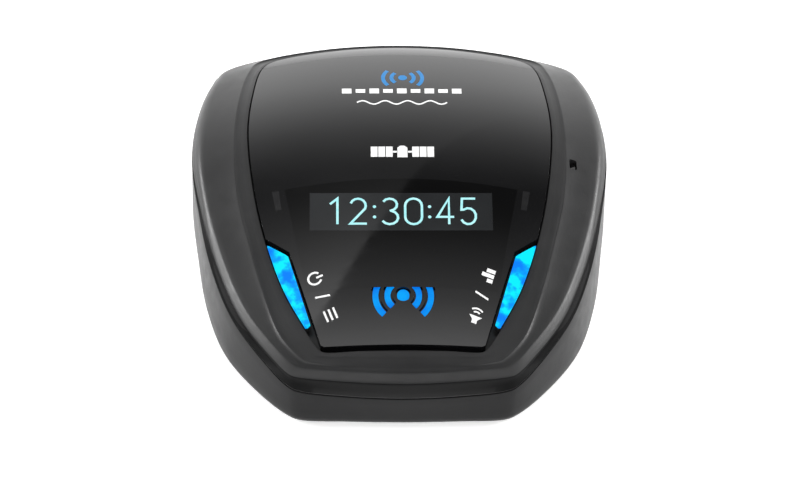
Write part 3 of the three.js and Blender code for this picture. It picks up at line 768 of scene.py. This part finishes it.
def make_window():
    """The smoked window in the windscreen end, set just inside the wall's face."""
    x0, x1, z0, z1 = shrunk(WINDOW, PANE_GAP)
    bm = bmesh.new()
    columns, rows = 40, 6
    outer = loop(inset(between(BELLY, EDGE, 0.28), 0.15))
    far = sorted((p for p in outer if p[1] > 30), key=lambda p: p[0])

    def wall_y(x, z):
        k = next((i for i in range(1, len(far)) if far[i][0] >= x), len(far) - 1)
        (xa, ya), (xb, yb) = far[k - 1], far[k]
        return ya + (yb - ya) * (x - xa) / (xb - xa) - WALL_LEAN * (z - WINDOW_MIDDLE)

    front, back = {}, {}
    for i in range(columns + 1):
        for j in range(rows + 1):
            x = x0 + (x1 - x0) * i / columns
            z = z0 + (z1 - z0) * j / rows
            for side, depth in ((front, 0), (back, PANE_THICKNESS)):
                side[i, j] = bm.verts.new((x, wall_y(x, z) - depth, z))
    for i in range(columns):
        for j in range(rows):
            corners = [(i, j), (i + 1, j), (i + 1, j + 1), (i, j + 1)]
            bm.faces.new([front[c] for c in reversed(corners)])
            bm.faces.new([back[c] for c in corners])
    rims = [((i, j), (i + 1, j)) for i in range(columns) for j in (0, rows)]
    rims += [((i, j), (i, j + 1)) for j in range(rows) for i in (0, columns)]
    for a, b in rims:
        bm.faces.new((front[a], front[b], back[b], back[a]))
    piece = make_object("antenna_window_pane", bm, SMOKED_RED)
    place(piece, HOUSING, "window", "antenna_window")


# ---- face panel and keys

# The key's straight sides, counter-clockwise; its outer side follows the opening.
KEY_SIDES = [
    (16.2, -30.6), (30, -30.6), (30, -11), (22.9, -14.3), (20, -16.5), (19.6, -16.9), (15.75, -30.2),
]


def clip(points, corners):
    """The part of a closed outline on the inner side of each side of a convex outline."""
    for (ax, ay), (bx, by) in zip(corners, corners[1:] + corners[:1]):
        kept = []
        side = lambda p: (bx - ax) * (p[1] - ay) - (by - ay) * (p[0] - ax)
        for p, q in zip(points, points[1:] + points[:1]):
            sp, sq = side(p), side(q)
            if sp >= 0:
                kept.append(p)
            if (sp >= 0) != (sq >= 0):
                t = sp / (sp - sq)
                kept.append((p[0] + (q[0] - p[0]) * t, p[1] + (q[1] - p[1]) * t))
        points = kept
    return points


NOTCH_START, NOTCH_CORNER, NOTCH_END = (23.5, -12.6), (19.4, -15.9), (13.95, -34)
PANEL_NEAR_END = [(0, -34.5), (4, -34.5), (8, -34.45), (11, -34.4), (13.4, -34.3), NOTCH_END]


def line_x(first, second, y):
    """Where the line through two points is at a y."""
    return first[0] + (second[0] - first[0]) * (y - first[1]) / (second[1] - first[1])


def panel_outline():
    """The opening's outline less its gap, cut back to the keys on both sides."""
    seat = [p for p in loop(inset(OPENING, PANEL_GAP), FINE_STEPS) if p[0] > 0]
    upper = [p for p in seat if p[1] > NOTCH_START[1]]
    turn_y = NOTCH_CORNER[1] - 0.5
    turn = (line_x(NOTCH_CORNER, NOTCH_END, turn_y), turn_y)
    rounding = (NOTCH_CORNER[0] + 0.45, NOTCH_CORNER[1] + 0.35)
    far = max(y for x, y in seat)
    half = [*PANEL_NEAR_END, turn, NOTCH_CORNER, rounding, NOTCH_START] + upper + [(0, far)]
    return half + flip(half[1:-1])


def make_panel():
    bm = bmesh.new()
    drape(bm, [panel_outline()], PANEL_LIFT, PANEL_THICKNESS, step=1.0)
    panel = make_object("face_panel_plate", bm, GLOSS)
    recess = bmesh.new()
    for points in emblem_outlines(EMBLEM_RECESS_GROWTH):
        bottom = [(x, y, top_height(x, y) - EMBLEM_RECESS_DEPTH) for x, y in points]
        top = [(x, y, top_height(x, y) + 2) for x, y in points]
        skin(recess, [bottom, top], caps=True)
    cut(panel, recess)
    bevel(panel, 0.14, segments=3, angle=55)
    place(panel, HOUSING, "face", "face_panel")


def make_key(side, word):
    outline = clip(loop(inset(OPENING, KEY_GAP), FINE_STEPS), KEY_SIDES)
    points = outline if side > 0 else flip(outline)
    bm = bmesh.new()
    drape(bm, [points], KEY_LIFT, KEY_THICKNESS, step=0.8)
    key = make_object(f"{word}_key_cap", bm, KEY_GLOW)
    bevel(key, 0.15, segments=3)
    place(key, f"{word}_key_body", "key", f"{word}_key")
    block = bmesh.new()
    drape(block, [points], KEY_LIFT - KEY_THICKNESS - 0.01, KEY_BLOCK_THICKNESS, step=1.5)
    place(make_object(f"{word}_key_block", block, JACK), f"{word}_key_body", "chip")


# ---- strokes, icons and the display


def ribbon(points, width, closed=False):
    """A polyline as a band of quads with mitred joints."""
    path = [Vector(p) for p in points]
    count = len(path)
    sides = []
    for k, p in enumerate(path):
        directions = []
        if k or closed:
            directions.append((p - path[k - 1]).normalized())
        if k < count - 1 or closed:
            directions.append((path[(k + 1) % count] - p).normalized())
        normals = [Vector((-d.y, d.x)) for d in directions]
        mitre = sum(normals, Vector((0, 0))).normalized()
        reach = width / 2 / max(mitre.dot(normals[0]), 0.35)
        sides.append((tuple(p + mitre * reach), tuple(p - mitre * reach)))
    if closed:
        sides.append(sides[0])
    return [(b0, b1, a1, a0) for (a0, b0), (a1, b1) in zip(sides, sides[1:])]


def placed(polygons, x, y, turn=0, scale=1.0):
    """Polygons turned by degrees, scaled and moved to a place."""
    c, s = math.cos(math.radians(turn)) * scale, math.sin(math.radians(turn)) * scale
    return [[(x + c * a - s * b, y + s * a + c * b) for a, b in points] for points in polygons]


EMBLEM_CENTRE = (0.1, -25.3)
EMBLEM_SPREAD = 46  # half of each arc, in degrees
EMBLEM_LIFT, EMBLEM_THICKNESS = -0.25, 0.25
EMBLEM_RECESS_GROWTH, EMBLEM_RECESS_DEPTH = 0.28, 0.55


def emblem_outlines(grow=0.0):
    """A generic broadcast sign: a dot between two pairs of arcs."""
    cx, cy = EMBLEM_CENTRE
    shapes = [disc_outline(cx, cy, 1.05 + grow, 28)]
    for radius in (2.7, 4.75):
        spread = EMBLEM_SPREAD + math.degrees(grow / radius)
        for middle in (0, 180):
            outer = arc(cx, cy, radius + 0.5 + grow, middle - spread, middle + spread, 16)
            inner = arc(cx, cy, radius - 0.5 - grow, middle + spread, middle - spread, 16)
            shapes.append(outer + inner)
    return shapes


def make_emblem():
    bm = bmesh.new()
    for points in emblem_outlines():
        drape(bm, [points], EMBLEM_LIFT, EMBLEM_THICKNESS, step=1.2)
    emblem = make_object("emblem_light", bm, EMBLEM_GLOW)
    bevel(emblem, 0.05, segments=2)
    place(emblem, HOUSING, "key")


STROKE = 0.42


def digit_path(digit):
    """The stroke of a numeral in a box one unit wide and high."""
    return {
        "0": arc(0.5, 0.72, 0.5, 0, 180, 8, 0.56) + arc(0.5, 0.28, 0.5, 180, 360, 8, 0.56),
        "1": [(0.18, 0.78), (0.62, 1.0), (0.62, 0.0)],
        "2": arc(0.48, 0.72, 0.46, 160, -25, 8, 0.6) + [(0.02, 0.02), (1.0, 0.02)],
        "3": arc(0.45, 0.76, 0.44, 150, -80, 8, 0.54) + arc(0.45, 0.26, 0.5, 80, -150, 8, 0.52),
        "4": [(0.7, 0.0), (0.7, 1.0), (0.0, 0.28), (1.0, 0.28)],
        "5": [(0.92, 1.0), (0.12, 1.0), (0.08, 0.56)] + arc(0.48, 0.31, 0.46, 125, -155, 10, 0.68),
    }[digit]


# Places on the display and the panel round it.
DISPLAY_SLOPE = 0.19
SHADE_HALF_WIDTH, SHADE_FAR_END, SHADE_ARCH = 20.3, -3.1, 0.6
SHADE_CORNERS = [(-16.4, -24), (16.4, -24)]
WINDOW_BOX = (-15.9, 15.8, -13.15, -5.55)
LAMP_STRIP = [(21.3, -3.2), (22.5, -3.2), (21.8, -7.2), (20.8, -7.2)]
SHADE_LIFT, MARK_LIFT, WINDOW_LIFT, CLOCK_LIFT = 0.008, 0.012, 0.014, 0.03
DIGIT_WIDTH, DIGIT_HEIGHT, DIGIT_GAP = 2.9, 5.2, 1.08
CLOCK = "12:30:45"
CLOCK_START = (-12.9, -11.9)


def across_grid(x0, x1, y0, y1):
    """A rectangle as sixteen strips, so that it can bend with level()."""
    xs = [x0 + (x1 - x0) * k / 16 for k in range(17)]
    return [box_outline(a, b, y0, y1) for a, b in zip(xs, xs[1:])]


def make_display():
    """What shows of the display through the panel: shaded frame, lit glass, clock, lamp strips."""
    arch = []
    for k in range(15):
        rise = SHADE_ARCH * math.sin(math.pi * k / 14)
        arch.append((SHADE_HALF_WIDTH * (1 - k / 7), SHADE_FAR_END + rise))
    decal("display_shade", [SHADE_CORNERS + arch], SHADE_LIFT, BEZEL_SHADE, "face")
    window = [level(strip, DISPLAY_SLOPE) for strip in across_grid(*WINDOW_BOX)]
    decal("display_window", window, WINDOW_LIFT, DISPLAY_GLASS, "display")
    strokes = []
    x, base = CLOCK_START
    for letter in CLOCK:
        if letter == ":":
            for height in (0.28, 0.68):
                strokes.append(disc_outline(x + 0.25, base + DIGIT_HEIGHT * height, 0.3, 10))
            x += 0.5 + DIGIT_GAP
            continue
        path = [(x + DIGIT_WIDTH * a, base + DIGIT_HEIGHT * b) for a, b in digit_path(letter)]
        strokes += ribbon(path, STROKE, closed=letter == "0")
        x += DIGIT_WIDTH + DIGIT_GAP
    strokes = [level(p, DISPLAY_SLOPE) for p in strokes]
    decal("display_clock", strokes, CLOCK_LIFT, DIGITS, "display", step=2.5)
    for word, points in (("right", LAMP_STRIP), ("left", flip(LAMP_STRIP))):
        decal(f"lamp_strip_{word}", [points], SHADE_LIFT, STRIP_SHADE, "face")


def satellite_icon():
    """A satellite seen square on: a body, and a strut and three solar cells on each side."""
    cells = []
    for side in (1, -1):
        for k in range(3):
            x = side * (2.35 + 1.35 * k)
            cells.append(box_outline(x - 0.6, x + 0.6, -1.15, 1.15))
        strut = side * 1.35
        cells.append(box_outline(strut - 0.35, strut + 0.35, -0.2, 0.2))
    body = [(-0.9, -1.25), (0.9, -1.25), (0.9, 0.9), (0.35, 1.35), (-0.35, 1.35), (-0.9, 0.9)]
    return cells + [body]


def power_icon():
    return ribbon(arc(0, 0, 1.0, 125, 415, 16), 0.32) + [box_outline(-0.16, 0.16, 0.25, 1.3)]


def menu_icon():
    return [box_outline(-0.95, 0.95, y - 0.16, y + 0.16) for y in (-0.75, 0, 0.75)]


def speaker_icon():
    cone = [(-1.2, -0.4), (-0.6, -0.4), (0.05, -1.0), (0.05, 1.0), (-0.6, 0.4), (-1.2, 0.4)]
    return [cone] + ribbon(arc(0, 0, 0.75, -40, 40, 6), 0.26) + ribbon(arc(0, 0, 1.3, -40, 40, 8), 0.26)


def skyline_icon():
    heights = ((-1.2, 0.9), (-0.35, 1.9), (0.5, 1.35))
    return [box_outline(x, x + 0.65, -0.95, -0.95 + h) for x, h in heights]


def slash():
    return [[(-0.45, -1.1), (-0.12, -1.1), (0.45, 1.1), (0.12, 1.1)]]


ICON_SCALE = 1.12


def mark(name, polygons, material=WHITE_INK, step=3):
    decal(name, polygons, MARK_LIFT, material, "face", step)


def make_marks():
    """Generic white and blue marks printed on the panel."""
    satellite = [level(p, 0.13) for p in placed(satellite_icon(), 0.3, 3.3, scale=0.98)]
    mark("satellite_mark", satellite, step=2)
    band = []
    for k in range(9):
        x, height = 0.4 + (k - 4) * 2.45, 1.0 if k % 2 else 1.35
        band.append(box_outline(x - 0.85, x + 0.85, 18.1 - height / 2, 18.1 + height / 2))
    mark("band_mark", [level(p, -0.08) for p in band])
    wave = [(0.4 - 8 + 16 * k / 48, 15.0 + 0.45 * math.sin(2 * math.pi * k / 12)) for k in range(49)]
    mark("wave_mark", [level(p, -0.02) for p in ribbon(wave, 0.3)])
    beacon = [disc_outline(0, 0, 0.8, 16)]
    for radius, spread, steps in ((2.0, 48, 8), (3.5, 40, 10)):
        for middle in (0, 180):
            beacon += ribbon(arc(0, 0, radius, middle - spread, middle + spread, steps), 0.7)
    mark("beacon_mark", placed(beacon, 0.6, 22.0), BLUE_INK)
    for word, icons, start, end, turn in (
        ("left", (power_icon(), slash(), menu_icon()), (-15.0, -21.6), (-12.3, -28.6), -69),
        ("right", (speaker_icon(), slash(), skyline_icon()), (12.4, -28.9), (14.7, -21.0), 73),
    ):
        shapes = []
        for k, icon in enumerate(icons):
            share = k / (len(icons) - 1)
            x, y = between([start], [end], share)[0]
            shapes += placed(icon, x, y, turn, ICON_SCALE)
        mark(f"{word}_key_mark", shapes)


# ---- underside and small parts


SCREW_PROFILE = [(0.9, 0.92), (1.5, 1.05), (1.85, 1.35), (2.0, 1.7), (2.0, 2.1)]  # radius, height
RECESS_LENGTH, RECESS_WIDTH, RECESS_TAPER = 1.05, 0.24, 0.55


def make_screw(index, x, y):
    """A pan-head cross-recess screw, head down in its well."""
    bm = bmesh.new()
    rings = [[(a, b, z) for a, b in disc_outline(x, y, r, 40)] for r, z in SCREW_PROFILE]
    skin(bm, rings, caps=True)
    screw = make_object(f"housing_screw_head_{index}", bm, STEEL)
    for dx, dy in ((RECESS_LENGTH, RECESS_WIDTH), (RECESS_WIDTH, RECESS_LENGTH)):
        mouth = box_outline(x - dx, x + dx, y - dy, y + dy)
        end = [(x + (a - x) * RECESS_TAPER, y + (b - y) * RECESS_TAPER, 1.65) for a, b in mouth]
        slot = bmesh.new()
        skin(slot, [[(a, b, 0.5) for a, b in mouth], end], caps=True)
        cut(screw, slot)
    place(screw, HOUSING, "steel", f"housing_screw_{index}")


LABEL_MARGIN, LABEL_FRAME = 0.4, 1.2
BARS = [0.3, 0.18, 0.42, 0.18, 0.3, 0.54, 0.18, 0.3, 0.42, 0.18, 0.54, 0.3, 0.18, 0.42, 0.3]
BAR_GAP = 0.42


def make_label():
    """A blank silver rating label with a printed frame, ruled fields and bars, no lettering."""
    x0, x1, y0, y1 = LABEL_BOX
    film = bmesh.new()
    prism_into(film, rounded_outline(*shrunk(LABEL_BOX, LABEL_MARGIN), 0.5), 0.25, 0.42)
    place(make_object("rating_label_film", film, LABEL), HOUSING, "label", "rating_label")
    shapes = ribbon(box_outline(*shrunk(LABEL_BOX, LABEL_FRAME)), 0.18, closed=True)
    for k in range(1, 4):
        y = y0 + LABEL_FRAME + (y1 - y0 - 2 * LABEL_FRAME) * k / 4
        shapes += ribbon([(x0 + 2, y), (x0 + 20, y)], 0.12)
    at = x0 + 22.5
    for width in BARS:
        shapes.append(box_outline(at, at + width, y0 + 4, y1 - 5))
        at += width + BAR_GAP
    printed = bmesh.new()
    for points in shapes:
        prism_into(printed, points, 0.235, 0.26)
    place(make_object("rating_label_print", printed, CHIP), HOUSING, "label")


LENS_DEPTH, LENS_LENGTH = 0.7, 3.6


def make_sensor_lens():
    """The dark light-pipe tip just inside its slit."""
    x, y = SENSOR_PLACE
    bm = bmesh.new()
    top = top_height(x, y) - LENS_DEPTH
    prism_into(bm, rounded_outline(x - 0.5, x + 0.5, y - 0.9, y + 0.9, 0.25), top - LENS_LENGTH, top)
    lens = make_object("light_sensor_lens", bm, GLOSS)
    bevel(lens, 0.1, 2)
    place(lens, HOUSING, "display", "light_sensor_pipe")


CAD_FINISHES = {
    "board": BOARD, "chip": CHIP, "steel": STEEL, "zinc": ZINC, "ceramic": CERAMIC, "foam": FOAM,
    "flex": FLEX, "speaker": JACK, "housing": MATTE, "key": EMBLEM_GLOW, "display": DISPLAY_GLASS,
}
EDGE_ROUNDING = {"main_board": 0.1, "speaker": 0.15, "display_module": 0.15, "horn_antenna": 0.25}


def finish_inner_parts():
    """The CAD nodes that stay get their slot's material and slightly rounded edges."""
    shown = {piece.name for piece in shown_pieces()}
    slots = {s["node"]: s["material_slot"] for s in frame["record"]["subparts"]}
    for name, node in frame["nodes"].items():
        if name not in shown:
            continue
        node.data.materials.clear()
        node.data.materials.append(JACK if name == "dc_jack" else CAD_FINISHES[slots[name]])
        bevel(node, EDGE_ROUNDING.get(name, 0.12), segments=2, angle=45)


# ---- stage and lighting


def area_light(name, place_m, target_m, size, roll, radiance):
    """A soft box facing a target, turned about its own axis, given by the radiance of its face."""
    data = bpy.data.lights.new(name, "AREA")
    data.shape = "RECTANGLE"
    data.size, data.size_y = size
    data.energy = radiance * math.pi * size[0] * size[1]
    made = bpy.data.objects.new(name, data)
    made.location = place_m
    facing = (Vector(target_m) - Vector(place_m)).to_track_quat("-Z", "Y")
    made.rotation_euler = (facing @ Quaternion((0, 0, 1), roll)).to_euler()
    bpy.context.scene.collection.objects.link(made)


FLOOR_HALF_WIDTH, FLOOR_DROP = 4000, 0.01


def make_stage():
    white = (1, 1, 1, 1)
    floor_material = Nodes("pale_floor", Roughness=0.9, Emission_Color=white, Emission_Strength=0.45)
    floor_material.colour(floor_material.ramp(floor_material.noise(60), [(0.3, 0.88), (0.7, 0.92)]))
    bm = bmesh.new()
    bmesh.ops.create_grid(bm, x_segments=8, y_segments=8, size=FLOOR_HALF_WIDTH)
    bmesh.ops.translate(bm, verts=bm.verts, vec=(0, 0, -FLOOR_DROP))
    make_object("floor", bm, floor_material.material)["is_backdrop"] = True
    make_sky()


# A direction of the sky is named by the tilt of a surface that mirrors it to a viewer in the
# direction SKY_VIEW: the tilt along the body, and the tilt across it. The levels are brightness
# by tilt along the body.
SKY_VIEW = (-0.0206, -0.6944, 0.7193)
SKY_PEAK = 2.6
SKY_SPAN = (-1.5, 0.7)
SKY_LEVELS = [
    (-1.5, 0.0), (-1.3, 0.1), (-1.22, 0.4), (-1.15, 2.6), (-0.86, 2.6), (-0.78, 0.4), (-0.64, 0.1),
    (-0.45, 0.0), (-0.375, 0.5), (-0.35, 1.7), (-0.335, 1.95),
    (-0.32, 1.6), (-0.305, 1.2), (-0.29, 0.86), (-0.27, 0.6), (-0.247, 0.39), (-0.225, 0.25),
    (-0.2, 0.14), (-0.165, 0.08), (-0.145, 0.15), (-0.125, 0.3), (-0.1, 0.48), (-0.061, 0.84),
    (-0.031, 1.13), (0.002, 1.45), (0.035, 1.74), (0.104, 2.17), (0.17, 2.33), (0.23, 2.21),
    (0.3, 2.05), (0.4, 1.6), (0.7, 1.4),
]
# An overhead panel with one straight edge: its brightness along the body, and across its edge.
CARD_PEAK = 1.15
CARD_SPAN = (-0.37, 0.02)
CARD_LEVELS = [
    (-0.37, 0.0), (-0.34, 0.9), (-0.3, 1.15), (-0.268, 1.04), (-0.247, 0.75), (-0.225, 0.6),
    (-0.208, 0.52), (-0.185, 0.35), (-0.16, 0.22), (-0.135, 0.15), (0.02, 0.0),
]
CARD_EDGE_SLOPE, CARD_EDGE_AT = 1.22, 0.208
CARD_FADE_SPAN = (-0.45, 0.002)
CARD_FADE = [(-0.45, 0.0), (-0.2, 0.55), (-0.05, 0.9), (-0.004, 1.0), (0.002, 0.0)]


def make_sky():
    """The world's brightness from the sky levels and the overhead panel."""
    world = bpy.data.worlds.new("soft_studio")
    bpy.context.scene.world = world
    world.use_nodes = True
    tree = world.node_tree

    def math_node(operation, a, b):
        node = tree.nodes.new("ShaderNodeMath")
        node.operation = operation
        for socket, value in zip(node.inputs, (a, b)):
            if isinstance(value, (int, float)):
                socket.default_value = value
            else:
                tree.links.new(value, socket)
        return node.outputs[0]

    def levels(value, stops, span, peak, smooth=True):
        """A brightness for a value, from (value, brightness) stops."""
        scale = 1 / (span[1] - span[0])
        place_in = math_node("MULTIPLY", math_node("SUBTRACT", value, span[0]), scale)
        ramp = tree.nodes.new("ShaderNodeValToRGB")
        ramp.color_ramp.interpolation = "B_SPLINE" if smooth else "LINEAR"
        fill_ramp(ramp.color_ramp, [((at - span[0]) * scale, level / peak) for at, level in stops])
        tree.links.new(place_in, ramp.inputs["Fac"])
        return math_node("MULTIPLY", ramp.outputs["Color"], peak)

    direction = tree.nodes.new("ShaderNodeTexCoord")
    split = tree.nodes.new("ShaderNodeSeparateXYZ")
    tree.links.new(direction.outputs["Generated"], split.inputs[0])
    half = [math_node("ADD", split.outputs[k], SKY_VIEW[k]) for k in range(3)]
    across = math_node("DIVIDE", half[0], half[2])
    along = math_node("DIVIDE", half[1], half[2])
    sky = levels(along, SKY_LEVELS, SKY_SPAN, SKY_PEAK)
    card = levels(along, CARD_LEVELS, CARD_SPAN, CARD_PEAK)
    edge = math_node("ADD", math_node("MULTIPLY", along, CARD_EDGE_SLOPE), CARD_EDGE_AT)
    fade = levels(math_node("SUBTRACT", across, edge), CARD_FADE, CARD_FADE_SPAN, 1.0, smooth=False)
    background = tree.nodes["Background"]
    background.inputs["Color"].default_value = (1, 1, 1, 1)
    light = math_node("ADD", sky, math_node("MULTIPLY", card, fade))
    tree.links.new(light, background.inputs["Strength"])


# Soft boxes on both sides: direction, size in metres, roll and radiance. The strip lights the
# rounded edge from the driver's corner back, and the patch lights the ridge.
SIDE_LIGHTS = {
    "strip": ((0.896, 0.24, 0.375), (1.0, 0.14), math.radians(30), 28.0),
    "patch": ((0.72, 0.35, 0.6), (0.16, 0.16), 0.0, 3.0),
}
SIDE_DISTANCE = 1.2
SIDE_TARGET = (0, -0.02, 0.01)


def make_lights():
    for kind, (direction, size, roll, radiance) in SIDE_LIGHTS.items():
        x, y, z = (c * SIDE_DISTANCE for c in direction)
        for word, side in (("left", -1), ("right", 1)):
            at = (side * x, y, z)
            area_light(f"{kind}_{word}", at, SIDE_TARGET, size, -side * roll, radiance)


# The camera looks down at the driver's end at CAMERA_ELEVATION, a little to one side and rolled.
CAMERA_TARGET = Vector((0.1, -8.19, 12.0))
CAMERA_DISTANCE = 600
CAMERA_YAW = math.radians(-1.7)
CAMERA_ROLL = math.radians(1.2)
CAMERA_LENS = 154.4


def make_camera():
    data = bpy.data.cameras.new("camera")
    data.sensor_width = 36
    data.lens = CAMERA_LENS
    data.clip_start, data.clip_end = 0.01, 50
    camera = bpy.data.objects.new("camera", data)
    turn = Matrix.Rotation(CAMERA_YAW, 4, "Z")
    back = Vector((0, -math.cos(CAMERA_ELEVATION), math.sin(CAMERA_ELEVATION)))
    spot = turn @ (CAMERA_TARGET + back * CAMERA_DISTANCE)
    tilt = Matrix.Rotation(math.pi / 2 - CAMERA_ELEVATION, 4, "X")
    roll = Matrix.Rotation(CAMERA_ROLL, 4, "Z")
    camera.matrix_world = Matrix.Translation(spot * MM) @ turn @ tilt @ roll
    bpy.context.scene.collection.objects.link(camera)
    bpy.context.scene.camera = camera


make_camera()
make_stage()
make_lights()
make_cover()
make_lower()
make_window()
make_panel()
make_key(1, "right")
make_key(-1, "left")
make_emblem()
make_display()
make_marks()
make_sensor_lens()
make_label()
for number, (screw_x, screw_y) in enumerate(SCREWS, 1):
    make_screw(number, screw_x, screw_y)
finish_inner_parts()
bpy.context.scene.view_settings.view_transform = "Standard"
